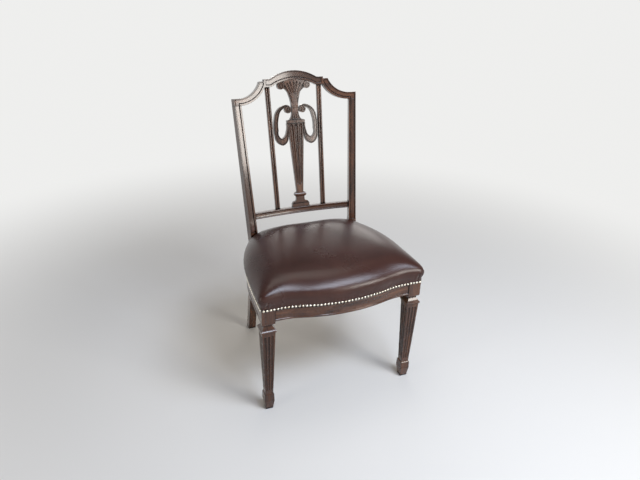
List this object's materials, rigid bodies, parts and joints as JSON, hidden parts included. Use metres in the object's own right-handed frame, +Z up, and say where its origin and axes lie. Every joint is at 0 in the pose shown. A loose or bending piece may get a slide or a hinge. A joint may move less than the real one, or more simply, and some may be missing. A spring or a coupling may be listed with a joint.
{
  "type": "lyre back dining chair",
  "caption": "Carved wooden side chair with a pierced lyre and plume splat, moulded shaped crest, fluted tapered front legs and a crowned leather seat edged with brass nails.",
  "frame": {"origin": "on the floor, in the middle of the chair's footprint", "axes": "+Z up, +Y to the back of the chair, +X to the right of someone facing it"},
  "size_m": [0.5556, 0.5636, 0.967],
  "materials": {
    "mahogany": "dark red-brown mahogany under a glossy french polish",
    "frame_wood": "plain sawn beech",
    "leather": "smooth dark burgundy-brown leather with a soft gloss",
    "brass_nails": "bright polished brass",
    "screw_steel": "plain steel",
    "webbing": "woven jute webbing",
    "hessian": "open woven hessian",
    "stuffing": "hair stuffing under calico"
  },
  "bodies": {
    "root": {"front_leg_left": "mahogany", "front_leg_right": "mahogany", "rear_leg_left": "mahogany", "rear_leg_right": "mahogany", "front_seat_rail": "mahogany", "side_seat_rail_left": "mahogany", "side_seat_rail_right": "mahogany", "rear_seat_rail": "mahogany", "crest_rail": "mahogany", "lower_back_rail": "mahogany", "back_post_left": "mahogany", "back_post_right": "mahogany", "splat": "mahogany", "corner_block_front_left": "frame_wood", "corner_block_front_right": "frame_wood", "corner_block_rear_left": "frame_wood", "corner_block_rear_right": "frame_wood", "corner_block_screws": "screw_steel", "seat_webbing_front_to_back": "webbing", "seat_webbing_side_to_side": "webbing", "hessian_base": "hessian", "seat_padding": "stuffing", "seat_cover": "leather", "seat_nails_front": "brass_nails", "seat_nails_left": "brass_nails", "seat_nails_right": "brass_nails", "seat_nails_back": "brass_nails"}
  },
  "joints": []
}
